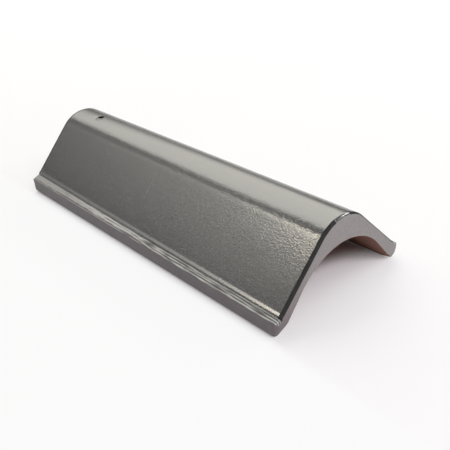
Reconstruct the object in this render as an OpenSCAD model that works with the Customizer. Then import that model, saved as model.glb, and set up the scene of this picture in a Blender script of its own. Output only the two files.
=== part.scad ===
// Clay ridge tile: one fired piece with a round crown, two straight flanks and a narrow lip
// along each foot. It lies on its two feet, with its length along X and its ridge up.

/* [Tile] */
// Length along the ridge
tile_l = 420; // [300:1:500]
// Width over the two lips
tile_w = 172; // [160:1:220]
// Height from the floor to the top of the ridge
tile_h = 84; // [78:0.5:95]

/* [Outside] */
// Outside radius of the crown
crown_r = 39; // [32:0.5:44]
// Width of the lip, from its outer face to the flank
lip_w = 9; // [7:0.5:12]
// Height of the outer face of the lip
lip_h = 16; // [13:0.5:18]
// Height of the ledge of the lip where it meets the flank
ledge_h = 20; // [18:0.1:22]
// Step from the ledge up to the flank
step_h = 2.2; // [1:0.1:4]

/* [Inside] */
// Thickness of the wall at the crown
crown_t = 27.4; // [22:0.1:32]
// Width of the sole that each lip stands on
sole_w = 7.5; // [6:0.1:10]
// How much steeper the sides of the hollow are than the flanks, in degrees
side_taper = 5; // [3:0.5:6]

/* [Edges] */
// Rounding of the glazed end edges
end_r = 3; // [1:0.5:4]
// Rounding of the lower outer edge of the lip
foot_r = 3; // [1:0.5:4]
// Rounding of the upper outer edge of the lip
lip_r = 1.5; // [0.5:0.5:3]

/* [Nail hole] */
// Bore of the nail hole
nail_d = 6.5; // [4:0.5:10]
// Distance from the end of the tile to the hole
nail_from_end = 45; // [25:1:60]
// Width of the softened rim around the hole
nail_rim = 0.8; // [0.2:0.1:1.5]

/* [Hidden] */
$fn = 96;
// Play that carries a cutter past the faces it cuts, or a piece into its neighbour
over = 1;
// How far a straight face sits inside the round that it runs into, so that the two cross cleanly
sink = 0.1;
// How far the end faces cut into the rounds of the end edges
end_lap = 0.05;
// Axis of the crown, and the foot of the flank
crown_z = tile_h - crown_r;
foot_y = tile_w / 2 - lip_w;
foot_z = ledge_h + step_h;
// Slope of the flank from level: the line from its foot that touches the crown
foot_to_axis = norm([foot_y, crown_z - foot_z]);
flank_slope = atan2(crown_z - foot_z, foot_y) + asin((crown_r - sink) / foot_to_axis);
// Top of the flank, where it runs into the crown, and its length down to the foot
flank_y = (crown_r - sink) * sin(flank_slope);
flank_z = crown_z + (crown_r - sink) * cos(flank_slope);
flank_l = (foot_y - flank_y) / cos(flank_slope);
// Slope of the ledge, from the foot of the flank down to the outer edge of the lip
ledge_slope = atan((ledge_h - lip_h) / lip_w);
// Hollow: its height, and its straight sides up from the inner edges of the soles
hollow_h = tile_h - crown_t;
sole_y = tile_w / 2 - sole_w;
hollow_slope = flank_slope + side_taper;
// Arch that touches both straight sides and has its top at the height of the hollow
arch_r = (sole_y * sin(hollow_slope) - hollow_h * cos(hollow_slope)) / (1 - cos(hollow_slope));
arch_z = hollow_h - arch_r;
side_y = (arch_r - sink) * sin(hollow_slope);
side_z = arch_z + (arch_r - sink) * cos(hollow_slope);
// Depth of a flank slab and of a lip bar behind their faces, past the wall that the hollow leaves
slab_d = crown_t / 2 + over;
bar_d = sole_w + foot_z / tan(hollow_slope);

// What a round of radius r takes off the square corner at the origin
module corner_waste(r) {
    difference() {
        translate([-over, -over]) square(r + over);
        translate([r, r]) circle(r);
    }
}

// Long bar seen square to its face: length along x, depth from the face along y. Both ends of
// the face are rounded by r as the glazed end edges are, and the bar runs on past the ends
module bar_profile(depth, r) {
    half = tile_l / 2 + over;
    difference() {
        translate([-half, 0]) square([2 * half, depth]);
        for (end = [0, 1]) mirror([end, 0]) translate([-tile_l / 2 - end_lap, 0]) difference() {
            translate([-2 * over, -over]) square([r + 2 * over, r + over]);
            translate([r, r]) circle(r);
        }
    }
}

// Sweep of a section along the whole tile: y of the tile runs to the right, z runs up
module along_tile() {
    rotate([90, 0, 90]) translate([0, 0, -tile_l]) linear_extrude(2 * tile_l) children();
}

// Both sides of the ridge, from what is drawn on the +Y side
module both_sides() {
    for (side = [0, 1]) mirror([0, side, 0]) children();
}

// Crown: a round bar along the ridge
module crown() {
    translate([0, 0, crown_z]) rotate([0, 90, 0])
        rotate_extrude() translate([crown_r, 0]) rotate(90) bar_profile(crown_r - over, end_r);
}

// Flank: a slab that runs from the crown down past its foot
module flank() {
    translate([0, flank_y, flank_z]) rotate([-90 - flank_slope, 0, 0])
        linear_extrude(flank_l + over) bar_profile(slab_d, end_r + sink);
}

// Lip: a bar that stands on the floor, with its lower outer edge rounded
module lip() {
    difference() {
        translate([0, tile_w / 2, 0]) mirror([0, 1, 0]) linear_extrude(foot_z) bar_profile(bar_d, end_r);
        along_tile() translate([tile_w / 2, 0]) mirror([1, 0]) corner_waste(foot_r);
    }
}

// Clearance over the lip: it leaves a small step below the flank, a sloping ledge and the
// rounded upper outer edge
module over_lip() {
    reach = lip_r * tan((90 - ledge_slope) / 2);
    centre = [tile_w / 2 - lip_r, lip_h - reach];
    along_tile() difference() {
        polygon([
            [foot_y, ledge_h],
            centre + lip_r * [sin(ledge_slope), cos(ledge_slope)],
            centre,
            [tile_w / 2 + over, centre.y],
            [tile_w / 2 + over, tile_h],
            [foot_y, tile_h],
        ]);
        translate(centre) circle(lip_r + sink / 5);
    }
}

// Hollow: two straight sides that run up into an arch
module hollow() {
    low_y = side_y + (side_z + over) / tan(hollow_slope);
    along_tile() {
        polygon([[low_y, -over], [side_y, side_z], [-side_y, side_z], [-low_y, -over]]);
        translate([0, arch_z]) circle(arch_r);
    }
}

// Nail hole through the crown, with its rim softened
module nail_hole() {
    translate([nail_from_end - tile_l / 2, 0, 0]) {
        cylinder(d = nail_d, h = tile_h + over);
        translate([0, 0, tile_h - nail_rim]) cylinder(d1 = nail_d, d2 = nail_d + 4 * nail_rim, h = 2 * nail_rim);
    }
}

module ridge_tile() {
    color("#6a6a68") difference() {
        union() {
            crown();
            both_sides() {
                flank();
                lip();
            }
        }
        both_sides() over_lip();
        hollow();
        nail_hole();
        for (end = [0, 1]) mirror([end, 0, 0]) translate([tile_l / 2, -tile_w, -over]) cube(2 * tile_w);
    }
}

ridge_tile();
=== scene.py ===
# %% [markdown]
# # A glazed clay ridge tile
# This lesson dresses one fired clay tile, the cap that sits astride the ridge of a roof. The packed
# solid gives its place and its true size. On the real tile almost everything that the eye enjoys is
# in the skin: a satin glaze with a fine pebbled face, drag marks along the ledge, and bare clay
# below. So the solid is loaded first, and its box gives the sizes.

# %% Load the imported solid
import math

import bmesh
import bpy
from mathutils import Matrix, Vector, noise


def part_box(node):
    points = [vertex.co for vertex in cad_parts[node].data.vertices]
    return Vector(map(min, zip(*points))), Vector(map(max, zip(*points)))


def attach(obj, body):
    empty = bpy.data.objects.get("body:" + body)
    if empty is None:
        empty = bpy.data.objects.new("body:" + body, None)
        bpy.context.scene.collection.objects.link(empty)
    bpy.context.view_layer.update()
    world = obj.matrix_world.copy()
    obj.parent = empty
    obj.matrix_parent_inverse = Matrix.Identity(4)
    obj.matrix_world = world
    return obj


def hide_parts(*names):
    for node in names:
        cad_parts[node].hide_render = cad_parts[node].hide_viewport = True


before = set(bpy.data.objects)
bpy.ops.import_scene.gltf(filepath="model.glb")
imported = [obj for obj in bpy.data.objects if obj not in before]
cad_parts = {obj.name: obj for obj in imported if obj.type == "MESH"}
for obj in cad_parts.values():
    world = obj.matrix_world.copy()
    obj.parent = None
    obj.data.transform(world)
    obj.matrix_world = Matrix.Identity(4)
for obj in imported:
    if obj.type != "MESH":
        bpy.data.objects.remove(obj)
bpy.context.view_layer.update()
low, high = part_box("ridge_tile")
print("nodes:", sorted(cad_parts), "box:", [round(1000 * d, 1) for d in high - low])

# %% [markdown]
# ## Sizes
# The tile is drawn from a handful of sizes: the round of the crown, the foot of the flank, the lip
# and its ledge, and the hollow below. They are written in millimetres and kept in metres. Length,
# width and height come from the solid's own box, so the skin can't drift away from it.

# %% Sizes of the tile
MM = 0.001
HAIR = 0.001 * MM
LENGTH, WIDTH, HEIGHT = high - low
HALF_L, HALF_W = LENGTH / 2, WIDTH / 2
CROWN_R, CROWN_T = 39 * MM, 27.4 * MM
LIP_W, LIP_H, LEDGE_H, STEP_H = 9 * MM, 16 * MM, 20 * MM, 2.2 * MM
LIP_R, FOOT_R = 1.5 * MM, 4.5 * MM
SOLE_W, SIDE_TAPER = 7.5 * MM, math.radians(5)
NAIL_X, NAIL_R, NAIL_RIM = 45 * MM - HALF_L, 3.25 * MM, 0.8 * MM

crown_z = HEIGHT - CROWN_R
foot = Vector((0, HALF_W - LIP_W, LEDGE_H + STEP_H))
foot_to_axis = math.hypot(foot.y, crown_z - foot.z)
flank_fall = math.atan2(crown_z - foot.z, foot.y) + math.asin(CROWN_R / foot_to_axis)
side_fall = flank_fall + SIDE_TAPER
sole_y, hollow_h = HALF_W - SOLE_W, HEIGHT - CROWN_T
arch_r = (sole_y * math.sin(side_fall) - hollow_h * math.cos(side_fall)) / (1 - math.cos(side_fall))
ledge_fall = math.atan2(LEDGE_H - LIP_H, LIP_W)
print("flank falls", round(math.degrees(flank_fall), 2), "degrees")
print("arch radius", round(arch_r / MM, 2), "mm")

# %% [markdown]
# ## A pen for the section
# The section is a line of straight runs and round turns. The pen draws it with one vertex: a run
# extrudes it along its heading, and a turn spins it about a centre, so a turn's points lie on a true
# circle. Each vertex also remembers its zone of the tile, and because extruding copies what a vertex
# carries, the whole sweep knows its zones later.

# %% Section pen
CROWN, FLANK, FOOT, LEDGE, LIP, HOLLOW = 1, 2, 3, 4, 5, 6


class SectionPen:
    """Draws half of a section, from the ridge outwards. Its fall is the heading below level."""

    def __init__(self, bm, z):
        self.bm, self.fall = bm, 0.0
        self.zones = bm.verts.layers.int.new("zone")
        self.tip = bm.verts.new((-HALF_L, 0, z))

    def label(self, zone):
        """Gives a zone to the points that have none yet."""
        for vert in self.bm.verts:
            if vert[self.zones] == 0:
                vert[self.zones] = zone

    def run(self, length, steps, zone):
        step = Vector((0, math.cos(self.fall), -math.sin(self.fall))) * (length / steps)
        for _ in range(steps):
            self.tip = bmesh.ops.extrude_vert_indiv(self.bm, verts=[self.tip])["verts"][0]
            self.tip[self.zones] = 0
            bmesh.ops.translate(self.bm, verts=[self.tip], vec=step)
        self.label(zone)

    def run_to_y(self, y, steps, zone):
        self.run((y - self.tip.co.y) / math.cos(self.fall), steps, zone)

    def run_to_z(self, z, steps, zone):
        self.run((self.tip.co.z - z) / math.sin(self.fall), steps, zone)

    def turn(self, radius, angle, steps, zone):
        side = math.copysign(1, angle)
        centre = self.tip.co - Vector((0, math.sin(self.fall), math.cos(self.fall))) * (side * radius)
        old = set(self.bm.verts)
        made = bmesh.ops.spin(self.bm, geom=[self.tip], cent=centre, axis=(1, 0, 0),
                              angle=-angle, steps=steps)
        for vert in self.bm.verts:
            if vert not in old:
                vert[self.zones] = zone
        self.tip = next(g for g in made["geom_last"] if isinstance(g, bmesh.types.BMVert))
        self.fall += angle
        self.label(zone)


# %% [markdown]
# ## The outer section
# From the ridge outwards there are the round crown, a slack shoulder, the straight flank, a small
# flare where the flank runs out, a low step, the sloping ledge, and the lip with its rounded edges.
# Only one half is drawn and the mirror makes the other, because both sides were made alike.

# %% Draw the outer half section
SHOULDER_R, SHOULDER_TURN = 70 * MM, math.radians(2.5)
FLARE_IN, FLARE_OUT = 0.6 * MM, 2.2 * MM
FLARE_R, FLARE_TURN = 8 * MM, math.radians(7.5)
STEP_R, ROOT_R, ROOT_RISE = 0.5 * MM, 0.7 * MM, 0.4 * MM
outer = bmesh.new()
pen = SectionPen(outer, HEIGHT)
pen.turn(CROWN_R, flank_fall - SHOULDER_TURN, steps=24, zone=CROWN)
pen.turn(SHOULDER_R, SHOULDER_TURN, steps=3, zone=CROWN)
pen.run_to_y(foot.y - FLARE_IN, steps=46, zone=FLANK)
pen.turn(FLARE_R, -FLARE_TURN, steps=3, zone=FOOT)
pen.run_to_y(foot.y + FLARE_OUT, steps=4, zone=FOOT)
pen.turn(STEP_R, math.pi / 2 - pen.fall, steps=3, zone=FOOT)
ledge_in = pen.tip.co.y
ledge_in_z = LEDGE_H - (ledge_in - foot.y) * math.tan(ledge_fall)
pen.run_to_z(ledge_in_z + ROOT_RISE, steps=2, zone=FOOT)
pen.turn(ROOT_R, ledge_fall - math.pi / 2, steps=3, zone=LEDGE)
pen.run_to_y(HALF_W - LIP_R * (1 - math.sin(ledge_fall)), steps=15, zone=LEDGE)
pen.turn(LIP_R, math.pi / 2 - ledge_fall, steps=4, zone=LIP)
pen.run_to_z(FOOT_R, steps=10, zone=LIP)
pen.turn(FOOT_R, math.pi / 2, steps=4, zone=LIP)
print("half section ends at", [round(c / MM, 2) for c in pen.tip.co], "with", len(outer.verts), "points")


# %% [markdown]
# ## What each point of the section knows
# The half line is mirrored into the whole section. Before it is swept, each point notes what the
# later steps need: its place, the way into the clay, the round of the end edge there, and how much
# of the dragged ledge is close by. A bell curve blends all but the place with the notes of the
# neighbours, so nothing jumps at a corner.

# %% Mirror and walk the section
MERGE = 1e-6


def whole_section(bm):
    halves = bm.verts[:] + bm.edges[:]
    bmesh.ops.mirror(bm, geom=halves, matrix=Matrix.Identity(4), merge_dist=MERGE, axis="Y")


def points_in_order(bm):
    """The section's points from the -Y end to the +Y end."""
    ends = [v for v in bm.verts if len(v.link_edges) == 1]
    walk = [min(ends, key=lambda v: v.co.y)]
    last = None
    while True:
        onward = [e for e in walk[-1].link_edges if e is not last]
        if not onward:
            return walk
        last = onward[0]
        walk.append(last.other_vert(walk[-1]))


whole_section(outer)
print("whole outer section:", len(points_in_order(outer)), "points")

# %% Note what each point knows
TOP_SIDE, UNDERSIDE = 1, -1
TOP_REACH, HOLLOW_REACH = 4 * MM, 3 * MM
END_ROUND = {CROWN: 2.8 * MM, FLANK: 2.8 * MM, FOOT: 2.8 * MM,
             LEDGE: 3.4 * MM, LIP: 4.6 * MM, HOLLOW: 0.7 * MM}
# The +Y half has smaller rounds, by a cut that is full from this far out
RIGHT_CUT, RIGHT_Y = 0.6, 25 * MM
# The inset of the ends dies away towards the soles
SOLE_INSET, SOLE_FADE = 0.2, 7 * MM
# The bell curve stops at this many reaches, and the ledge's own bell is this many times narrower
BELL_END, LEDGE_BELL = 2.5, 5


def ways_and_spans(walk, zones, side):
    """The way into the clay at each point, which is level on the lip, and the length it stands for."""
    ways, spans = [], []
    for i, vert in enumerate(walk):
        along = walk[min(i + 1, len(walk) - 1)].co - walk[max(i - 1, 0)].co
        spans.append(along.length)
        if vert[zones] == LIP:
            ways.append(Vector((0, -math.copysign(side, vert.co.y), 0)))
        else:
            ways.append(Vector((0, along.z, -along.y)).normalized() * side)
    return ways, spans


def remember_section(bm, reach, side):
    """Keeps each point's place, way inwards, end round and share of dragged ledge."""
    place = bm.verts.layers.float_vector.new("section_place")
    inward = bm.verts.layers.float_vector.new("inward")
    end_round = bm.verts.layers.float.new("end_round")
    dragged = bm.verts.layers.float.new("dragged")
    zones = bm.verts.layers.int["zone"]
    walk = points_in_order(bm)
    ways, spans = ways_and_spans(walk, zones, side)
    for vert in walk:
        vert[place] = vert.co
        blend, radius, total, on_ledge, close = Vector(), 0.0, 0.0, 0.0, 0.0
        for other, way, span in zip(walk, ways, spans):
            gap = (other.co - vert.co).length / reach
            if gap < BELL_END:
                share = span * math.exp(-gap * gap)
                tight = span * math.exp(-(LEDGE_BELL * gap) ** 2)
                right = min(1, max(0, other.co.y / RIGHT_Y))
                blend += way * share
                radius += END_ROUND[other[zones]] * share * (1 - RIGHT_CUT * right)
                total += share
                on_ledge += tight * (other[zones] == LEDGE)
                close += tight
        vert[end_round] = radius / total
        vert[dragged] = on_ledge / close
        vert[inward] = blend.normalized()
        if side == TOP_SIDE:
            vert[inward] *= min(1, SOLE_INSET + vert.co.z / SOLE_FADE)
        elif vert.co.z < HAIR:
            vert[inward] = Vector((0, math.copysign(1 / math.sin(side_fall), blend.y), 0))


remember_section(outer, TOP_REACH, TOP_SIDE)
print("end rounds, in mm:", [round(r / MM, 1) for r in END_ROUND.values()])


# %% [markdown]
# ## From a line to a skin
# The section is extruded once over the whole length, and its long edges are then cut into even
# steps. That gives the rows of quads that the relief needs later, and extruding copies the notes.

# %% Sweep the top
OUTER_STEPS = 320


def sweep(bm, steps):
    grown = bmesh.ops.extrude_edge_only(bm, edges=bm.edges[:])["geom"]
    far_points = [g for g in grown if isinstance(g, bmesh.types.BMVert)]
    bmesh.ops.translate(bm, verts=far_points, vec=(LENGTH, 0, 0))
    long_edges = [e for e in bm.edges if e.calc_length() > LENGTH / 2]
    bmesh.ops.subdivide_edgering(bm, edges=long_edges, cuts=steps - 1, interp_mode="LINEAR")


sweep(outer, OUTER_STEPS)
print("outer skin:", len(outer.verts), "vertices")

# %% [markdown]
# ## A lip that drifts
# The press left the lip a little taller towards the nailed end, so the foot climbs the flank there.
# The swept points are moved up the slope, by a share that dies away above the foot. How far out on
# the ledge a point lies is noted here, before its place moves.

# %% Let the lip drift
LIP_CLIMB, CLIMB_CURVE = 4.0 * MM, 1.4
LIP_GROWTH, CLIMB_FADE = 0.55, 25 * MM


def lip_drift(spot, zone):
    climb = LIP_CLIMB * ((HALF_L - spot.x) / LENGTH) ** CLIMB_CURVE
    inwards = -math.copysign(math.cos(flank_fall), spot.y)
    up_flank = Vector((0, inwards, math.sin(flank_fall))) * climb
    up = Vector((0, 0, LIP_GROWTH * climb))
    if zone == LIP:
        return up * min(1, spot.z / LIP_H)
    if zone == LEDGE:
        return up_flank.lerp(up, (abs(spot.y) - ledge_in) / (HALF_W - ledge_in))
    above = (foot.y - abs(spot.y)) / math.cos(flank_fall) / CLIMB_FADE
    return up_flank * max(0, 1 - max(0, above)) ** 2


outer_place = outer.verts.layers.float_vector["section_place"]
outer_zones = outer.verts.layers.int["zone"]
out_on_ledge = outer.verts.layers.float.new("out_on_ledge")
for vert in outer.verts:
    if vert[outer_zones] == LEDGE:
        vert[out_on_ledge] = (abs(vert.co.y) - ledge_in) / (HALF_W - ledge_in)
    drift = lip_drift(vert.co, vert[outer_zones])
    vert[outer_place] += drift
    vert.co += drift
print("lip grows by up to", round(LIP_GROWTH * LIP_CLIMB / MM, 2), "mm")

# %% [markdown]
# ## The hollow
# The underside is one wide arch that runs into two straight sides. It is plainer than the top, so
# it is drawn with fewer points and swept in longer steps.

# %% Draw and sweep the hollow
HOLLOW_STEPS = 168
hollow = bmesh.new()
pen = SectionPen(hollow, hollow_h)
pen.turn(arch_r, side_fall, steps=32, zone=HOLLOW)
pen.run_to_z(0, steps=16, zone=HOLLOW)
print("hollow's half section ends at", [round(c / MM, 2) for c in pen.tip.co])
whole_section(hollow)
remember_section(hollow, HOLLOW_REACH, UNDERSIDE)
sweep(hollow, HOLLOW_STEPS)
print("hollow:", len(hollow.verts), "vertices")


# %% [markdown]
# ## Rounded ends
# The glaze rounds off the ends of the top, so the first and last rows are bent inwards on a quarter
# circle, and two more rows lie flat on the end face, where they hold the shading of the round. The
# hollow's edge only has the small soft round of cut clay. Moving the swept rows is simpler here than
# a bevel, because the step at the ledge is smaller than the round and a bevel would fold there.

# %% Bend the end rows
TOP_ROUND_ROWS, TOP_FLAT_ROWS = 6, (1.6 * MM, 0.7 * MM)
HOLLOW_ROUND_ROWS, HOLLOW_FLAT_ROWS = 3, (0.4 * MM,)
# The nailed end of the top is sharper, with this share of the near end's round
NAILED_SHARE, SAME_SHARE = 0.4, 1


def end_rows(radius, rounds, flat):
    """Depth from the end and inset for each row, from the end face back to the full section."""
    rows = [(0.0, radius + extra) for extra in flat]
    for k in range(rounds + 1):
        turn = math.pi / 2 * (1 - k / rounds)
        rows.append((radius * (1 - math.sin(turn)), radius * (1 - math.cos(turn))))
    return rows


def bend_ends(bm, steps, rounds, flat, nailed_share):
    """Bends the rows at both ends, and spreads the others evenly between them."""
    place = bm.verts.layers.float_vector["section_place"]
    inward = bm.verts.layers.float_vector["inward"]
    end_round = bm.verts.layers.float["end_round"]
    count = len(flat) + rounds
    for vert in bm.verts:
        row = round((vert.co.x + HALF_L) / LENGTH * steps)
        from_end = min(row, steps - row)
        near, nailed = vert[end_round], nailed_share * vert[end_round]
        if from_end <= count:
            depth, inset = end_rows(near if row > from_end else nailed, rounds, flat)[from_end]
            vert.co = vert[place] + vert[inward] * inset
            vert.co.x = math.copysign(HALF_L - depth, row - steps / 2)
        else:
            share = (row - count) / (steps - 2 * count)
            vert.co.x = (HALF_L - near) * share - (HALF_L - nailed) * (1 - share)


bend_ends(outer, OUTER_STEPS, TOP_ROUND_ROWS, TOP_FLAT_ROWS, NAILED_SHARE)
bend_ends(hollow, HOLLOW_STEPS, HOLLOW_ROUND_ROWS, HOLLOW_FLAT_ROWS, SAME_SHARE)
print("ends bent at x =", round(max(v.co.x for v in outer.verts) / MM, 2), "mm")


# %% [markdown]
# ## The nail hole
# One hole goes through the crown near an end. A boolean would leave slivers in so fine a grid, so a
# square block of faces is taken out, its border is moved onto a circle, and the circle is extruded
# down over a soft rim. The hollow gets a hole the same way, and bridging the two circles makes
# the bore.

# %% Cut the nail hole
SMOOTH_REACH, SMOOTH_PASSES = 2.2, 4
row_gap = LENGTH / OUTER_STEPS
TOP_BLOCK, UNDER_BLOCK = (3.1 * row_gap, 3.9 * MM), (4.2 * MM, 4 * MM)
UNDER_RIM = 0.4 * MM
# Steps of the rim: how much wider than the bore, and how far below the crown
RIM_STEPS = ((0.45 * MM, 0.12 * MM), (0.15 * MM, 0.4 * MM), (0, 0.9 * MM), (0, 14 * MM))


def from_nail(spot):
    return math.hypot(spot.x - NAIL_X, spot.y)


def crown_height(y):
    return crown_z + math.sqrt(CROWN_R ** 2 - y * y)


def arch_height(y):
    return hollow_h - arch_r + math.sqrt(arch_r ** 2 - y * y)


def open_block(bm, half_block, radius, height_at):
    """Takes out the faces around the nail hole and puts the border on a circle. Returns its edges."""
    centres = {f: f.calc_center_median() for f in bm.faces}
    block = [f for f, middle in centres.items()
             if abs(middle.x - NAIL_X) < half_block[0] and abs(middle.y) < half_block[1]]
    edges = dict.fromkeys(e for f in block for e in f.edges)
    border = [e for e in edges if sum(f in block for f in e.link_faces) == 1]
    ring = dict.fromkeys(v for e in border for v in e.verts)
    bmesh.ops.delete(bm, geom=block, context="FACES")
    mid = sum((v.co for v in ring), Vector()) / len(ring)
    for vert in ring:
        way = Vector((vert.co.x - mid.x, vert.co.y, 0)).normalized() * radius
        vert.co = (NAIL_X + way.x, way.y, height_at(way.y))
    near = [v for v in bm.verts if v not in ring and from_nail(v.co) < SMOOTH_REACH * radius]
    for _ in range(SMOOTH_PASSES):
        bmesh.ops.smooth_vert(bm, verts=near, factor=0.5, use_axis_x=True, use_axis_y=True)
    for vert in near:
        vert.co.z = height_at(vert.co.y)
    return border


rim_edges = open_block(outer, TOP_BLOCK, NAIL_R + NAIL_RIM, crown_height)
for wider, drop in RIM_STEPS:
    grown = bmesh.ops.extrude_edge_only(outer, edges=rim_edges)["geom"]
    rim_edges = [g for g in grown if isinstance(g, bmesh.types.BMEdge)
                 and all(v in grown for v in g.verts) and len(g.link_faces) == 1]
    for vert in {v for e in rim_edges for v in e.verts}:
        way = Vector((vert.co.x - NAIL_X, vert.co.y, 0)).normalized() * (NAIL_R + wider)
        vert.co = (NAIL_X + way.x, way.y, crown_height(way.y) - drop)
        vert[outer_zones] = HOLLOW
under_edges = open_block(hollow, UNDER_BLOCK, NAIL_R + UNDER_RIM, arch_height)
print("bore rings:", len(rim_edges), "and", len(under_edges), "edges")

# %% [markdown]
# ## Close the tile
# The skins come together in one mesh. The bore is bridged, and each sole and each end is one flat
# face between two borders, cut into triangles afterwards. A tile is watertight only if every edge
# has two faces, so that is counted.

# %% Join, bridge and close
BORE_REACH, BORE_LOWEST = NAIL_R + 0.6 * MM, 20 * MM
hollow_mesh = bpy.data.meshes.new("hollow_skin")
hollow.to_mesh(hollow_mesh)
outer.from_mesh(hollow_mesh)
bpy.data.meshes.remove(hollow_mesh)
hollow.free()
tile = outer
zones = tile.verts.layers.int["zone"]


def loose_edges(test):
    return [e for e in tile.edges if len(e.link_faces) == 1 and all(test(v.co) for v in e.verts)]


bore = loose_edges(lambda p: from_nail(p) < BORE_REACH and p.z > BORE_LOWEST)
bmesh.ops.bridge_loops(tile, edges=bore)
caps = []
for side in (-1, 1):
    borders = loose_edges(lambda p: p.z < HAIR and p.y * side > 0)
    border_points = dict.fromkeys(v for e in borders for v in e.verts)
    tips = [v for v in border_points if sum(e in borders for e in v.link_edges) == 1]
    for end in (-1, 1):
        pair = [v for v in tips if v.co.x * end > 0]
        borders.append(tile.edges.new(pair))
    caps += bmesh.ops.contextual_create(tile, geom=borders)["faces"]
for end in (-1, 1):
    borders = loose_edges(lambda p: abs(p.x - end * HALF_L) < HAIR)
    caps += bmesh.ops.contextual_create(tile, geom=borders)["faces"]
for face in caps:
    face.normal_update()
bmesh.ops.triangulate(tile, faces=caps, quad_method="BEAUTY", ngon_method="BEAUTY")
bmesh.ops.recalc_face_normals(tile, faces=tile.faces[:])
open_edges = sum(len(e.link_faces) != 2 for e in tile.edges)
print("faces:", len(tile.faces), "caps:", len(caps), "edges without two faces:", open_edges)

# %% [markdown]
# ## Relief in the clay
# Pressed and glazed clay is never quite flat. A slow swell bends the reflections, pebbles break them
# up, and the dragged ledge has ridges with gaps. It is all sunk by a fraction of a millimetre, so that
# the tile stays within the box of its solid. The noise is read at each point's place in the section,
# so the drag marks follow the ledge round its ends. A layer of noise is written as its depth in
# millimetres, its pitch per metre along x, y and z, and a seed.

# %% Layers of relief
SWELL = ((0.16, (11, 16, 16), 3.1), (0.05, (38, 45, 45), 8.7))
PEBBLES = ((0.002, (190, 190, 190), 1.7), (0.006, (400, 400, 400), 5.3))
CROWN_PEBBLES = ((0.025, (300, 300, 300), 6.1),)


def grain(point, pitch, seed):
    sx, sy, sz = pitch
    return noise.noise(Vector((point.x * sx + seed, point.y * sy - seed, point.z * sz + 2 * seed)))


def relief(point, layers):
    return sum(depth * grain(point, pitch, seed) for depth, pitch, seed in layers)


def ease(at, start, end, first=0.0, last=1.0):
    """The first value before the start and the last one after the end, which are in millimetres."""
    return first + (last - first) * min(1, max(0, (at / MM - start) / (end - start)))


ridge_middle = Vector((0, 0, HEIGHT))
print("swell at the middle of the ridge:", round(relief(ridge_middle, SWELL), 3), "mm")

# %% [markdown]
# Two marks are found in one place only. The drag marks on the ledge are long ridges, broken in the
# middle and smoother towards the nailed end. The nail dent is a shallow crescent beside the hole,
# where the punch pulled the clay down.

# %% Drag marks and the nail dent
RIDGE_DEPTH, RIDGE_PITCH, RIDGE_SEED, SIDE_SEED = 0.3, (30, 640, 0), 11.3, 7
BREAK_DEPTH, BREAK_PITCH, BREAK_SEED = 0.42, (120, 300, 0), 23.9
DRAG_FADE = (-160, -40, 0.3, 1.0)
DENT_DEPTH, DENT_R, DENT_W, DENT_REACH, DENT_FADE = 1.3, 6.4 * MM, 0.8 * MM, 9 * MM, 5 * MM
DENT_LOWEST = 60 * MM


def drag_marks(p):
    ridge = grain(p, RIDGE_PITCH, RIDGE_SEED + math.copysign(SIDE_SEED, p.y))
    breaks = grain(p, BREAK_PITCH, BREAK_SEED)
    return ease(p.x, *DRAG_FADE) * (RIDGE_DEPTH * ridge + BREAK_DEPTH * breaks * abs(ridge))


def nail_dent(p):
    if p.z < DENT_LOWEST or from_nail(p) > DENT_REACH or p.y > 0:
        return 0
    crescent = math.exp(-((from_nail(p) - DENT_R) / DENT_W) ** 2)
    return -DENT_DEPTH * crescent * min(1, -p.y / DENT_FADE) ** 2


# %% Press the relief in
TOP_SWELL, TOP_SINK = 0.8, 0.16
TOP_PEBBLES = (-100, 100, 0.3, 1.2)
LEDGE_SINK = 0.25
HOLLOW_SWELL, HOLLOW_PEBBLES, HOLLOW_SINK = 1.6, 1.4, 0.2
BORE_SHARE, BORE_WALL = 0.2, NAIL_R + 0.1 * MM
FLAT_SOLE = 0.5 * MM
place = tile.verts.layers.float_vector["section_place"]
dragged = tile.verts.layers.float["dragged"]


def clay_depth(vert):
    """How far a point moves out of the clay, in millimetres. Flat soles and ends stay."""
    if vert.co.z < FLAT_SOLE or abs(vert.co.x) > HALF_L - HAIR:
        return 0
    p = Vector((vert.co.x, vert[place].y, vert[place].z))
    if vert[zones] == HOLLOW:
        depth = HOLLOW_SWELL * relief(p, SWELL) + HOLLOW_PEBBLES * relief(p, PEBBLES) - HOLLOW_SINK
    else:
        depth = TOP_SWELL * relief(p, SWELL) + ease(p.x, *TOP_PEBBLES) * relief(p, PEBBLES)
        depth += nail_dent(p) - TOP_SINK
        if vert[zones] == CROWN:
            depth += relief(p, CROWN_PEBBLES)
        depth += (drag_marks(p) - LEDGE_SINK - depth) * vert[dragged]
    return depth * BORE_SHARE if from_nail(vert.co) < BORE_WALL else depth


tile.normal_update()
moves = [(vert, vert.normal * (clay_depth(vert) * MM)) for vert in tile.verts]
for vert, move in moves:
    vert.co += move
    vert.co.x = max(-HALF_L, min(HALF_L, vert.co.x))
print("relief moved", len(moves), "vertices, at most", round(max(m.length for _, m in moves) / MM, 3), "mm")
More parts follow.
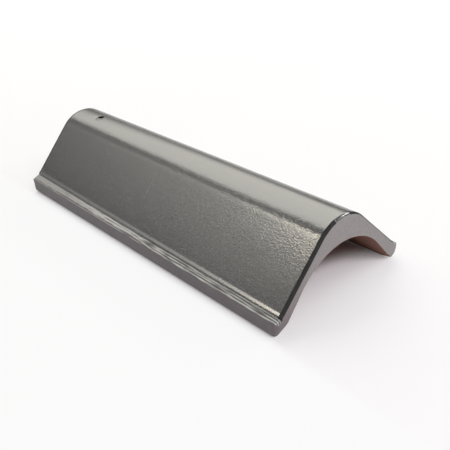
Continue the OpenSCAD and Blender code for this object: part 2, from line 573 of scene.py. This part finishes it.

# %% [markdown]
# ## Notes for the finishes
# Some marks follow the making of the tile, one is painted shade, and no texture can know where they
# are, so each point carries a few numbers for the nodes to read: the pink inner rim of the end faces,
# the veil of glaze that darkens the lips, painted black shade in the bore, pale slip on the dragged
# ledge, a darker tone on the left side, low down and towards the near end of the lip, and how calm
# the glaze is. A fade along the tile is written as where it starts and ends, in millimetres, and its
# first and last value.

# %% Note the marks on each point
END_BAND, BORE_SHADE_REACH = 0.3 * MM, NAIL_R + 2.5 * MM
SLIP_FADE, EDGE_SLIP, EDGE_OUT = (-30, 40, 1.17, 0.965), 0.12, 0.86
FOOT_CALM, LEDGE_CALM = (60, 150, 0.1, 0.9), (-140, -60, 0.85, 0.0)
FLANK_CALM_UP, FLANK_CALM_ALONG = (30, 55, 0.5, 0.06), (100, 180, 0.0, 0.2)
LIP_DARKENING, CORNER_DARKENING, END_DARKENING = (-80, 60, 0.0, 0.35), (198, 208, 0.0, 0.75), (4, 46, 0.85, 0.0)
out_on_ledge = tile.verts.layers.float["out_on_ledge"]
end_round = tile.verts.layers.float["end_round"]
inner_rim, veil, painted_bore_shade, slip, left_darkening, calm = [
    tile.verts.layers.float.new(name) for name in ("inner_rim", "veil", "painted_bore_shade", "slip", "left_darkening", "calm")]


def calm_at(zone, spot):
    if zone == FOOT:
        return ease(spot.x, *FOOT_CALM)
    if zone == FLANK:
        return ease(spot.z, *FLANK_CALM_UP) + ease(spot.x, *FLANK_CALM_ALONG)
    return ease(spot.x, *LEDGE_CALM) if zone == LEDGE else 0.0


# The left side is made darker low on its end and along its lip towards the near end.
def left_darkening_at(zone, spot):
    if spot.y >= 0:
        return 0.0
    if zone == LIP:
        return max(ease(spot.x, *LIP_DARKENING), ease(spot.x, *CORNER_DARKENING))
    return ease(spot.z, *END_DARKENING)


for vert in tile.verts:
    zone, by_end = vert[zones], HALF_L - abs(vert.co.x)
    inset = (vert.co - vert[place]).yz.length
    if zone == HOLLOW and by_end < END_BAND and inset < vert[end_round] + END_BAND:
        vert[inner_rim] = 1.0
    if zone in (LIP, LEDGE) and by_end > END_BAND:
        vert[veil] = 1.0
    # Points by the bore are painted black later, for the shade deep in the hole.
    if from_nail(vert.co) < BORE_SHADE_REACH:
        vert[painted_bore_shade] = 1.0
    vert[slip] = ease(vert.co.x, *SLIP_FADE) + (EDGE_SLIP if vert[out_on_ledge] > EDGE_OUT else 0)
    vert[calm] = calm_at(zone, vert.co)
    vert[left_darkening] = left_darkening_at(zone, vert.co)
print("points on the inner rims:", sum(v[inner_rim] > 0 for v in tile.verts))

# %% [markdown]
# ## Which clay shows where
# Five finishes meet on one fired body: satin glaze on the top, a dragged and worn one on the ledges,
# a dark dull one that paints the dark reflection of the end edges and also covers the rim of the nail
# hole, a dusting on the lips and the end faces, and bare red clay below. Faces are given to a finish
# by the zones of their points and by where they lie. On the ledge the glaze stops short of the edge
# in the nailed half, along a ragged line.

# %% Give faces to finishes
GLAZE, DUSTED, CLAY, PAINTED_DARK_EDGE, DRAGGED = range(5)
REACH_NEAR, REACH_NAILED = (0, 70, 0.68, 0.98), (-190, -120, 0.1, 0.0)
RAGGED_FADE = (0, 70, 1.0, 0.4)
# Depth, pitch along the tile and seed of the ragged line
RAGS = ((0.16, 70, 4.2), (0.1, 260, 9.1))
FLAT_END, SOLE_BAND, ON_LEDGE = 0.01 * MM, 0.2 * MM, 0.05
EDGE_SHARE, NAILED_EDGE, NAIL_EDGE = 0.95, 2.2 * MM, NAIL_R + 0.9 * MM
GLAZED_CROWN = (-9 * MM, 10 * MM)
SHARP = math.radians(40)


def glaze_reach(x):
    """Share of the ledge's width that the glaze covers, by the distance along the tile."""
    ragged = sum(depth * noise.noise(Vector((x * pitch, seed, 0))) for depth, pitch, seed in RAGS)
    return ease(x, *REACH_NEAR) + ease(x, *REACH_NAILED) + ragged * ease(x, *RAGGED_FADE)


def mean_note(face, layer):
    return sum(v[layer] for v in face.verts) / len(face.verts)


def finish_of(face):
    kinds = [v[zones] for v in face.verts]
    middle = face.calc_center_median()
    out = mean_note(face, out_on_ledge)
    if all(abs(v.co.x) > HALF_L - FLAT_END for v in face.verts):
        return DUSTED
    if HOLLOW in kinds or all(v.co.z < SOLE_BAND for v in face.verts):
        return CLAY
    if all(k == LIP for k in kinds) or out > glaze_reach(middle.x):
        return DUSTED
    if out > ON_LEDGE:
        return DRAGGED
    edge_depth = EDGE_SHARE * mean_note(face, end_round) if middle.x > 0 else NAILED_EDGE
    on_edge = HALF_L - abs(middle.x) < edge_depth
    on_crown = middle.x > 0 and GLAZED_CROWN[0] < middle.y < GLAZED_CROWN[1]
    # End edges get the dark finish, a painted dark reflection; faces by the nail hole get it too.
    return PAINTED_DARK_EDGE if from_nail(middle) < NAIL_EDGE or on_edge and not on_crown else GLAZE


for face in tile.faces:
    face.smooth = True
    face.material_index = finish_of(face)
for edge in tile.edges:
    if len(edge.link_faces) == 2 and edge.calc_face_angle(0) > SHARP:
        edge.smooth = False
glazed = sum(f.material_index == GLAZE for f in tile.faces)
print("faces:", len(tile.faces), "of which glazed:", glazed)

# %% [markdown]
# ## Worn corners
# The near feet of this tile are worn. The tip of the left foot is worn back, and the lower outer
# corner of the right lip is worn in and up, most of all at its tip. The points below a small height
# are moved last, so that the wear bends every finish with it.

# %% Wear the near feet and make the piece
WEAR_H = 10 * MM
TIP_FROM, TIP_TO, TIP_CURVE = 196, 210, 1.5
LEFT_TIP_BACK, RIGHT_TIP_BACK, RIGHT_TIP_UP = 4.0 * MM, 1.0 * MM, 2.4 * MM
CORNER_FROM, CORNER_TO, CORNER_W = 40, 200, 7 * MM
CORNER_IN, CORNER_UP = 1.6 * MM, 2.4 * MM
for vert in tile.verts:
    lowness = 1 - vert.co.z / WEAR_H
    if lowness > 0 and vert.co.x > 0:
        tip = lowness * ease(vert.co.x, TIP_FROM, TIP_TO) ** TIP_CURVE
        if vert.co.y < 0:
            vert.co.x -= LEFT_TIP_BACK * tip
        else:
            outermost = max(0, 1 - (HALF_W - vert.co.y) / CORNER_W)
            corner = lowness * ease(vert.co.x, CORNER_FROM, CORNER_TO) * outermost
            rise = CORNER_UP * corner + RIGHT_TIP_UP * tip
            vert.co += Vector((-RIGHT_TIP_BACK * tip, -CORNER_IN * corner, rise))
tile_mesh = bpy.data.meshes.new("fired_tile")
tile.to_mesh(tile_mesh)
tile.free()
fired_tile = bpy.data.objects.new("fired_tile", tile_mesh)
bpy.context.scene.collection.objects.link(fired_tile)
print("triangles:", sum(len(p.vertices) - 2 for p in tile_mesh.polygons))


# %% [markdown]
# ## Node helpers
# A material is a small net of nodes. These helpers add one node with its inputs, whether they are
# numbers or links, so that each finish below reads like a recipe.

# %% Node helpers
FLOAT, COLOUR = "NodeSocketFloat", "NodeSocketColor"
# Sockets of the Mix node for two numbers and for two colours
NUMBER_A, NUMBER_B, NUMBER_OUT = 2, 3, 0
COLOUR_A, COLOUR_B, COLOUR_OUT = 6, 7, 2


def add(tree, kind, inputs=None, **settings):
    made = tree.nodes.new(kind)
    for name, value in settings.items():
        setattr(made, name, value)
    for socket, value in (inputs or {}).items():
        if isinstance(value, bpy.types.NodeSocket):
            tree.links.new(value, made.inputs[socket])
        else:
            made.inputs[socket].default_value = value
    return made


def maths(tree, operation, *values, clamp=False):
    inputs = dict(enumerate(values))
    return add(tree, "ShaderNodeMath", inputs, operation=operation, use_clamp=clamp).outputs[0]


def ramp(tree, value, start, end, first=0.0, last=1.0, shape="LINEAR"):
    inputs = {"Value": value, "From Min": start, "From Max": end, "To Min": first, "To Max": last}
    return add(tree, "ShaderNodeMapRange", inputs, interpolation_type=shape).outputs["Result"]


def mix_colours(tree, share, under, over):
    inputs = {"Factor": share, COLOUR_A: under, COLOUR_B: over}
    return add(tree, "ShaderNodeMix", inputs, data_type="RGBA").outputs[COLOUR_OUT]


def object_place(tree):
    return add(tree, "ShaderNodeTexCoord").outputs["Object"]


def new_group(name, inputs, outputs):
    group = bpy.data.node_groups.new(name, "ShaderNodeTree")
    for label, kind, value in inputs:
        group.interface.new_socket(label, in_out="INPUT", socket_type=kind).default_value = value
    for label, kind in outputs:
        group.interface.new_socket(label, in_out="OUTPUT", socket_type=kind)
    return group, add(group, "NodeGroupInput").outputs, add(group, "NodeGroupOutput").inputs


# %% [markdown]
# ## Shared effects
# Three effects come back again and again, so each is a node group that is built once: a mottle that
# mixes two colours in soft clouds, a grain that gives height for bump, and a scratch that runs down
# the left flank. They read Object coordinates, so the pattern stays on the tile from every side.

# %% Mottle, grain and scratch
SCRATCH_CORE, SCRATCH_EDGE = 0.1 * MM, 0.8 * MM
SCRATCH_FULL_Y, SCRATCH_GONE_Y = -36 * MM, -31 * MM


def make_mottle_group():
    group, given, result = new_group("clay_mottle", [
        ("Scale", FLOAT, 60.0), ("Contrast", FLOAT, 2.0),
        ("Low", COLOUR, (0, 0, 0, 1)), ("High", COLOUR, (1, 1, 1, 1))],
        [("Color", COLOUR), ("Mask", FLOAT)])
    cloud = add(group, "ShaderNodeTexNoise", {
        "Vector": object_place(group), "Scale": given["Scale"], "Detail": 5.0, "Roughness": 0.62})
    centred = maths(group, "SUBTRACT", cloud.outputs["Fac"], 0.5)
    mask = maths(group, "MULTIPLY_ADD", centred, given["Contrast"], 0.5, clamp=True)
    group.links.new(mix_colours(group, mask, given["Low"], given["High"]), result["Color"])
    group.links.new(mask, result["Mask"])
    return group


def make_grain_group():
    group, given, result = new_group("clay_grain", [
        ("Scale", FLOAT, 400.0), ("Pits", FLOAT, 0.3)], [("Height", FLOAT)])
    where = object_place(group)
    fine = add(group, "ShaderNodeTexNoise", {
        "Vector": where, "Scale": given["Scale"], "Detail": 1.0, "Roughness": 0.5})
    cells = add(group, "ShaderNodeTexVoronoi", {"Vector": where, "Scale": given["Scale"]})
    pitted = maths(group, "MULTIPLY_ADD", cells.outputs["Distance"], given["Pits"], fine.outputs["Fac"])
    group.links.new(pitted, result["Height"])
    return group


def make_scratch_group():
    group, given, result = new_group("glaze_scratch", [
        ("Place", FLOAT, 0.0), ("Low", FLOAT, 0.04), ("High", FLOAT, 0.06)], [("Mask", FLOAT)])
    axes = add(group, "ShaderNodeSeparateXYZ", {0: object_place(group)}).outputs
    away = maths(group, "ABSOLUTE", maths(group, "SUBTRACT", axes["X"], given["Place"]))
    line = ramp(group, away, SCRATCH_CORE, SCRATCH_EDGE, 1.0, 0.0)
    high_up = ramp(group, axes["Z"], given["Low"], given["High"])
    left = ramp(group, axes["Y"], SCRATCH_FULL_Y, SCRATCH_GONE_Y, 1.0, 0.0)
    mask = maths(group, "MULTIPLY", maths(group, "MULTIPLY", line, high_up), left)
    group.links.new(mask, result["Mask"])
    return group


mottle_group, grain_group, scratch_group = make_mottle_group(), make_grain_group(), make_scratch_group()
print("groups:", [g.name for g in (mottle_group, grain_group, scratch_group)])

# %% [markdown]
# Every finish ends in the same way: a colour, a roughness that follows one of its masks, and a bump
# from the shared grain. So that end is one helper, and a finish only says what is its own.

# %% Helpers for the finishes
finishes = {}


def use_group(tree, group, **inputs):
    return add(tree, "ShaderNodeGroup", inputs, node_tree=group).outputs


def mottle(tree, scale, contrast, low, high):
    return use_group(tree, mottle_group, Scale=scale, Contrast=contrast, Low=(*low, 1), High=(*high, 1))


def read_note(tree, name):
    return add(tree, "ShaderNodeAttribute", attribute_name=name).outputs["Fac"]


def new_finish(name):
    made = bpy.data.materials.new(name)
    made.use_nodes = True
    return made, made.node_tree, made.node_tree.nodes["Principled BSDF"]


def dress(tree, shader, colour, mask, rough, pits, strength, depth, scale=600.0):
    """Feeds the shader: rough is a pair for the mask's two ends, and depth is that of the bump."""
    tree.links.new(colour, shader.inputs["Base Color"])
    tree.links.new(ramp(tree, mask, 0.0, 1.0, *rough), shader.inputs["Roughness"])
    height = use_group(tree, grain_group, Scale=scale, Pits=pits)["Height"]
    bump = add(tree, "ShaderNodeBump", {"Height": height, "Strength": strength, "Distance": depth})
    tree.links.new(bump.outputs["Normal"], shader.inputs["Normal"])


# %% [markdown]
# ## The glaze
# The top is a dark graphite glaze with a satin face. Most of its lightness in a studio is reflected
# light, so the colour itself is dark, and the roughness is low enough to show the edge of a lamp.
# Where the glaze is calm its bump is weaker. Light and dark flecks in its colour are painted glints
# and pit shade of the pebbled face. Two faint scratches run down the left flank.

# %% Glaze on the top
GLAZE_IOR, GLINT_FLECK_SHARE = 1.92, 0.66
LIVELY_BUMP, CALM_BUMP = 0.66, 0.12
# Place along the tile, and the heights between which it comes up
SCRATCHES = ((152.5 * MM, 44 * MM, 54 * MM), (-12.5 * MM, 40 * MM, 56 * MM))
SCRATCHED = (0.125, 0.125, 0.117, 1)


def make_glaze():
    made, tree, shader = new_finish("graphite_glaze")
    shader.inputs["IOR"].default_value = GLAZE_IOR
    shader.inputs["Specular IOR Level"].default_value = 1.0
    body = mottle(tree, scale=35.0, contrast=1.6, low=(0.050, 0.051, 0.048), high=(0.064, 0.065, 0.060))
    # Light and dark flecks in the colour, painted glints and pit shade of the pebbled face.
    glint_and_pit_flecks = mottle(tree, scale=450.0, contrast=3.0, low=(0.018, 0.018, 0.017), high=(0.115, 0.116, 0.107))
    colour = mix_colours(tree, GLINT_FLECK_SHARE, body["Color"], glint_and_pit_flecks["Color"])
    for along, start, end in SCRATCHES:
        scratch = use_group(tree, scratch_group, Place=along, Low=start, High=end)
        colour = mix_colours(tree, scratch["Mask"], colour, SCRATCHED)
    strength = ramp(tree, read_note(tree, "calm"), 0.0, 1.0, LIVELY_BUMP, CALM_BUMP)
    dress(tree, shader, colour, body["Mask"], rough=(0.19, 0.23), pits=0.15,
          strength=strength, depth=0.21 * MM)
    return made


finishes[GLAZE] = make_glaze()
print("glaze:", len(finishes[GLAZE].node_tree.nodes), "nodes")


# %% [markdown]
# ## The dragged ledge
# The ledge looks as if it was dragged along while its glaze was wet. The glaze there is dull and dark,
# and it is worn down to pale slip in broken lines that run along the tile. Towards the nailed end
# the lines melt into an even half tone.

# %% Dragged glaze on the ledge
LINE_STRETCH, LINE_SHARE = (0.1, 1.0, 0.0), 0.22
BREAK_STRETCH = (55.0, 800.0, 0.0)
WORN_FROM, WORN_TO, CALM_WORN = 1.50, 1.74, 0.56
PALE_SLIP = (0.51, 0.523, 0.49, 1)


def make_dragged():
    made, tree, shader = new_finish("dragged_glaze")
    body = mottle(tree, scale=120.0, contrast=2.0, low=(0.070, 0.071, 0.066), high=(0.110, 0.111, 0.104))
    where = object_place(tree)
    flat = add(tree, "ShaderNodeMapping", {"Vector": where, "Scale": LINE_STRETCH})
    lines = add(tree, "ShaderNodeTexWave", {
        "Vector": flat.outputs[0], "Scale": 140.0, "Distortion": 0.3, "Detail": 1.0}, bands_direction="Y")
    along = add(tree, "ShaderNodeMapping", {"Vector": where, "Scale": BREAK_STRETCH})
    breaks = add(tree, "ShaderNodeTexNoise", {
        "Vector": along.outputs[0], "Scale": 1.0, "Detail": 1.0, "Roughness": 0.5})
    marks = maths(tree, "MULTIPLY_ADD", lines.outputs["Fac"], LINE_SHARE, breaks.outputs["Fac"])
    marks = maths(tree, "ADD", marks, read_note(tree, "slip"))
    worn = add(tree, "ShaderNodeMix", {
        "Factor": read_note(tree, "calm"), NUMBER_A: ramp(tree, marks, WORN_FROM, WORN_TO),
        NUMBER_B: CALM_WORN}).outputs[NUMBER_OUT]
    colour = mix_colours(tree, worn, body["Color"], PALE_SLIP)
    dress(tree, shader, colour, body["Mask"], rough=(0.30, 0.42), pits=0.2, strength=0.5, depth=0.3 * MM)
    return made


finishes[DRAGGED] = make_dragged()
print("dragged glaze:", len(finishes[DRAGGED].node_tree.nodes), "nodes")


# %% [markdown]
# ## The end edges
# The rounded ends and the rim of the nail hole get a dark finish that mirrors nothing. On the ends
# it is a painted dark reflection, which draws the black outline that the glazed edges show.

# %% Dark painted finish on the end edges
def make_painted_dark_edge():
    made, tree, shader = new_finish("dark_edge_painted_reflection")
    # A dark colour and no mirror: painted dark reflection along the end edges.
    shader.inputs["Specular IOR Level"].default_value = 0.0
    body = mottle(tree, scale=160.0, contrast=2.0, low=(0.032, 0.034, 0.032), high=(0.050, 0.052, 0.049))
    dress(tree, shader, body["Color"], body["Mask"], rough=(0.16, 0.24), pits=0.15,
          strength=0.3, depth=0.3 * MM)
    return made


finishes[PAINTED_DARK_EDGE] = make_painted_dark_edge()
print("thin glaze:", len(finishes[PAINTED_DARK_EDGE].node_tree.nodes), "nodes")


# %% [markdown]
# ## Dusted faces
# The spray only dusts the lips' outer faces and the ends. They stay dull and a little mauve, with
# greener clouds and fine specks. A veil of glaze darkens the lips, the body shows pink along the
# hollow's edge, and the left side is darker low down and towards the near end of its lip.

# %% Dusted lips and ends
SPECK_SHARE = 0.35
# A darker tone for the left side, low down and towards the near end of the lip.
PINK_RIM, LEFT_DARKER = (0.47, 0.34, 0.28, 1), (0.15, 0.122, 0.122, 1)


def make_dusted():
    made, tree, shader = new_finish("dusted_clay")
    body = mottle(tree, scale=90.0, contrast=2.2, low=(0.236, 0.209, 0.212), high=(0.290, 0.284, 0.268))
    specks = mottle(tree, scale=520.0, contrast=3.0, low=(0.19, 0.171, 0.176), high=(0.333, 0.318, 0.314))
    mist = mottle(tree, scale=60.0, contrast=2.5, low=(0.168, 0.158, 0.174), high=(0.200, 0.185, 0.187))
    colour = mix_colours(tree, SPECK_SHARE, body["Color"], specks["Color"])
    for note, over in (("inner_rim", PINK_RIM), ("veil", mist["Color"]), ("left_darkening", LEFT_DARKER)):
        colour = mix_colours(tree, read_note(tree, note), colour, over)
    dress(tree, shader, colour, body["Mask"], rough=(0.55, 0.72), pits=0.2, strength=0.6, depth=0.3 * MM)
    return made


finishes[DUSTED] = make_dusted()
print("dusted clay:", len(finishes[DUSTED].node_tree.nodes), "nodes")


# %% [markdown]
# ## Bare clay
# The hollow, the bore and the soles are unglazed red clay, wiped and fired. It is the roughest of
# the five finishes, with paler and darker burnt clouds. The bore is painted near black, for the
# shade deep in the hole.

# %% Bare clay below
# Painted shade: near black for the bore, standing in for the dark deep in the hole.
PAINTED_BORE_BLACK = (0.004, 0.003, 0.003, 1)


def make_clay():
    made, tree, shader = new_finish("bare_red_clay")
    body = mottle(tree, scale=28.0, contrast=2.4, low=(0.135, 0.058, 0.038), high=(0.25, 0.122, 0.082))
    colour = mix_colours(tree, read_note(tree, "painted_bore_shade"), body["Color"], PAINTED_BORE_BLACK)
    dress(tree, shader, colour, body["Mask"], rough=(0.75, 0.92), pits=0.5,
          strength=0.7, depth=0.5 * MM, scale=380.0)
    return made


finishes[CLAY] = make_clay()
for kind in sorted(finishes):
    fired_tile.data.materials.append(finishes[kind])
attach(fired_tile, "root")
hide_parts("ridge_tile")
print("finishes:", [m.name for m in fired_tile.data.materials])


# %% [markdown]
# ## Light
# A glaze is judged by what it mirrors. A row of panels high behind the tile draws the pale band along
# the crown. A row of dim panels on the left fills the flank, and a lamp with its glow there draws the
# narrow strip below the crown. The front panel lights the near end, and a lamp on the right shapes
# the shadow under the arch. Two dim walls fill the gaps. Strengths are given as radiance, where 1
# is as bright as white paper, so that a colour renders about as it is written.

# %% Panels and lamps
WARM, WARMER, ROSE, FAINT, PLAIN = (1, 0.97, 0.89), (1, 0.92, 0.78), (1, 0.95, 1), (1, 1, 0.95), (1, 1, 1)
# Radiance of each back panel and the y of its near edge, in a row that leads away past the nailed end
BACK_PANELS = ((1.95, -0.28), (1.88, -0.32), (1.76, -0.25), (1.74, -0.09),
               (1.28, 0.0), (0.92, 0.6), (0.65, 0.6))
BACK_W, BACK_FAR_Y, ROOF_Z = 0.6, 4.0, 1.5
LEFT_WALL = (0.46, 0.54, 0.50, 0.43, 0.39, 0.37, 0.37)
WALL_X, WALL_Y, WALL_SIZE = -1.15, -1.28, (0.4, 0.95)
LEFT_GLOW = (1.15, 0.65, 0.5)
GLOW_X, GLOW_Y, GLOW_Z, GLOW_SIZE = -1.32, -1.05, 1.48, (0.48, 0.24)


def panel(name, centre, size, radiance, colour, aim=None):
    lamp = bpy.data.lights.new(name, "AREA")
    lamp.shape = "RECTANGLE"
    lamp.size, lamp.size_y = size
    lamp.energy = math.pi * radiance * size[0] * size[1]
    lamp.color = colour
    made = bpy.data.objects.new(name, lamp)
    made.location = centre
    if aim is not None:
        made.rotation_euler = (Vector(aim) - Vector(centre)).to_track_quat("-Z", "Y").to_euler()
    made.visible_camera = False
    bpy.context.scene.collection.objects.link(made)


for k, (radiance, near_y) in enumerate(BACK_PANELS):
    middle = (-BACK_W - BACK_W * k, (near_y + BACK_FAR_Y) / 2, ROOF_Z)
    panel(f"back_panel_{k}", middle, (BACK_W, BACK_FAR_Y - near_y), radiance, WARM)
for k, radiance in enumerate(LEFT_WALL):
    panel(f"left_wall_{k}", (WALL_X - WALL_SIZE[0] * k, WALL_Y, ROOF_Z), WALL_SIZE, radiance, FAINT)
panel("left_lamp", centre=(-0.86, GLOW_Y, GLOW_Z), size=(0.44, 0.24), radiance=7.6, colour=WARMER)
for k, radiance in enumerate(LEFT_GLOW):
    panel(f"left_glow_{k}", (GLOW_X - GLOW_SIZE[0] * k, GLOW_Y, GLOW_Z), GLOW_SIZE, radiance, WARM)
panel("front_panel", centre=(1.71, -0.30, 1.80), size=(2.1, 0.45), radiance=12.2, colour=ROSE,
      aim=(0, 0, 0.05))
panel("right_lamp", centre=(0.95, 1.6, 1.0), size=(1.4, 0.3), radiance=9.6, colour=PLAIN,
      aim=(0.2, 0, 0.05))
panel("gap_wall", centre=(-2.17, -0.56, 1.52), size=(2.45, 0.5), radiance=0.25, colour=FAINT)
panel("far_wall", centre=(-4.7, 4.2, 0.8), size=(3.8, 1.2), radiance=0.25, colour=FAINT,
      aim=(-4.7, 0, 0.8))
print("lamps and panels:", len(bpy.data.lights))


# %% [markdown]
# ## Floor
# The floor is a wide white disc. Away from the tile a part of it shines for the camera and for
# mirrored rays, which makes the background white without more light on the tile. Next to the tile
# that part fades out, so that the shadow stays.

# %% Floor and world
FLOOR_R, FLOOR_SIDES = 6, 96
FLOOR_WHITE, FLOOR_ROUGH, FLOOR_GLOW = (0.93, 0.93, 0.93, 1), 0.9, 0.97
# Axis, where the shine starts and is full, in metres, and its most
OPEN_FLOOR = (("X", 0.17, 0.235, 0.45), ("X", -0.19, -0.225, 0.6),
              ("Y", 0.07, 0.13, 0.45), ("Y", -0.078, -0.096, 0.87))
STUDIO_DIM = (0.11, 0.11, 0.115, 1)


def make_floor_paper():
    made, tree, shader = new_finish("pale_floor")
    shader.inputs["Base Color"].default_value = FLOOR_WHITE
    shader.inputs["Roughness"].default_value = FLOOR_ROUGH
    glow = add(tree, "ShaderNodeEmission", {"Color": (1, 1, 1, 1), "Strength": FLOOR_GLOW})
    path = add(tree, "ShaderNodeLightPath").outputs
    seen = maths(tree, "MAXIMUM", path["Is Camera Ray"], path["Is Glossy Ray"])
    seen = maths(tree, "MAXIMUM", seen, path["Is Transmission Ray"])
    axes = add(tree, "ShaderNodeSeparateXYZ", {0: object_place(tree)}).outputs
    open_floor = 0.0
    for axis, start, end, most in OPEN_FLOOR:
        shine = ramp(tree, axes[axis], start, end, 0.0, most, shape="SMOOTHSTEP")
        open_floor = maths(tree, "MAXIMUM", open_floor, shine)
    share = maths(tree, "MULTIPLY", seen, open_floor)
    mixed = add(tree, "ShaderNodeMixShader", {0: share, 1: shader.outputs[0], 2: glow.outputs[0]})
    tree.links.new(mixed.outputs[0], tree.nodes["Material Output"].inputs["Surface"])
    return made


floor_bm = bmesh.new()
bmesh.ops.create_circle(floor_bm, cap_ends=True, segments=FLOOR_SIDES, radius=FLOOR_R)
floor_mesh = bpy.data.meshes.new("floor")
floor_bm.to_mesh(floor_mesh)
floor_bm.free()
floor = bpy.data.objects.new("floor", floor_mesh)
floor.data.materials.append(make_floor_paper())
bpy.context.scene.collection.objects.link(floor)

world = bpy.data.worlds.new("studio")
bpy.context.scene.world = world
world.use_nodes = True
world.node_tree.nodes["Background"].inputs["Color"].default_value = STUDIO_DIM
bpy.context.scene.view_settings.view_transform = "Standard"
print("floor radius", FLOOR_R, "m")

# %% [markdown]
# ## Camera
# The camera stands about where the photograph was taken from: out past the near end, to its left and
# above it. Its place and directions were fitted to the outline, so they are given as they came out,
# with one direction forward and one to the right.

# %% Camera
PIXELS, FOCAL_PIXELS, SENSOR = 450, 641.29, 36
eye = Vector((503.42, -378.68, 359.90)) * MM
forward = Vector((-0.65893, 0.55553, -0.50715)).normalized()
right = Vector((0.67421, 0.73515, -0.07070)).normalized()
upward = right.cross(forward)
lens = bpy.data.cameras.new("photo_camera")
lens.sensor_width = SENSOR
lens.lens = SENSOR * FOCAL_PIXELS / PIXELS
lens.clip_start = 0.01
camera = bpy.data.objects.new("photo_camera", lens)
turned = Matrix((right, upward, -forward)).transposed().to_4x4()
camera.matrix_world = Matrix.Translation(eye) @ turned
bpy.context.scene.collection.objects.link(camera)
bpy.context.scene.camera = camera
print("camera at", [round(c, 3) for c in eye], "lens", round(lens.lens, 2))
